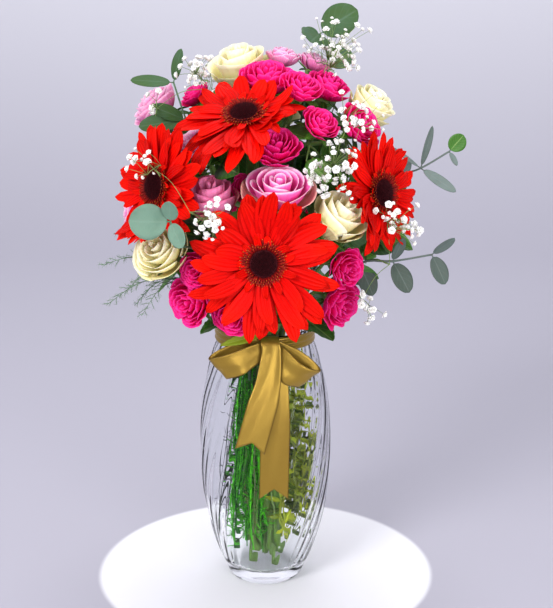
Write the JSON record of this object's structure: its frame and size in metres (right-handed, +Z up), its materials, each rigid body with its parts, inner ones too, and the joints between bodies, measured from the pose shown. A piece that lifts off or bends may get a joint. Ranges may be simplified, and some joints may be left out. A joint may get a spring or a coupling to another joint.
{
  "type": "bouquet in a vase",
  "caption": "Bouquet of gerberas and roses with baby's breath, eucalyptus and fern, held by a clear ribbed glass vase with a satin bow.",
  "frame": {"origin": "middle of the vase's foot, on the surface that it stands on", "axes": "+Z up; the bow and the front gerbera face -Y"},
  "size_m": [0.2997, 0.2853, 0.5016],
  "materials": {
    "glass": "clear, polished",
    "satin_ribbon": "satin",
    "rose_green": "matt plant tissue",
    "gerbera_petals": "matt petal",
    "gerbera_disc": "matt florets",
    "gerbera_stem": "matt plant tissue",
    "hot_pink_petals": "matt petal",
    "bicolour_petals": "matt petal",
    "mauve_petals": "matt petal",
    "pale_pink_petals": "matt petal",
    "cream_petals": "matt petal",
    "baby_breath": "matt florets",
    "eucalyptus": "waxy leaf",
    "green_fern": "matt frond",
    "pale_fern": "matt frond",
    "olive_leaves": "matt leaf"
  },
  "bodies": {
    "root": {"breath_back": "baby_breath", "breath_left": "baby_breath", "breath_low_right": "baby_breath", "breath_right": "baby_breath", "breath_top": "baby_breath", "breath_top_left": "baby_breath", "eucalyptus_left": "eucalyptus", "eucalyptus_low_right": "eucalyptus", "eucalyptus_right": "eucalyptus", "eucalyptus_top": "eucalyptus", "eucalyptus_top_left": "eucalyptus", "fern_inside": "green_fern", "fern_left_lower": "pale_fern", "fern_left_upper": "pale_fern", "gerbera_front_disc": "gerbera_disc", "gerbera_front_petals": "gerbera_petals", "gerbera_front_stem": "gerbera_stem", "gerbera_left_disc": "gerbera_disc", "gerbera_left_petals": "gerbera_petals", "gerbera_left_stem": "gerbera_stem", "gerbera_right_disc": "gerbera_disc", "gerbera_right_petals": "gerbera_petals", "gerbera_right_stem": "gerbera_stem", "gerbera_top_disc": "gerbera_disc", "gerbera_top_petals": "gerbera_petals", "gerbera_top_stem": "gerbera_stem", "olive_twigs": "olive_leaves", "ribbon": "satin_ribbon", "rose_bicolour": "bicolour_petals", "rose_cream_back": "cream_petals", "rose_cream_left": "cream_petals", "rose_cream_low_back": "cream_petals", "rose_cream_middle": "cream_petals", "rose_cream_right_top": "cream_petals", "rose_cream_top": "cream_petals", "rose_dark_pink": "hot_pink_petals", "rose_hot_upper": "hot_pink_petals", "rose_mauve": "mauve_petals", "rose_pale_left": "pale_pink_petals", "rose_pink_back": "bicolour_petals", "rose_pink_left": "pale_pink_petals", "rose_side_left": "bicolour_petals", "rose_stems": "rose_green", "spray_back_1": "pale_pink_petals", "spray_back_2": "pale_pink_petals", "spray_back_3": "hot_pink_petals", "spray_left_1": "hot_pink_petals", "spray_left_2": "hot_pink_petals", "spray_left_3": "hot_pink_petals", "spray_low_back_1": "hot_pink_petals", "spray_low_back_2": "hot_pink_petals", "spray_right_1": "hot_pink_petals", "spray_right_2": "hot_pink_petals", "spray_top_1": "hot_pink_petals", "spray_top_2": "hot_pink_petals", "spray_top_3": "hot_pink_petals", "spray_top_4": "hot_pink_petals", "spray_top_5": "hot_pink_petals", "vase": "glass"}
  },
  "joints": []
}
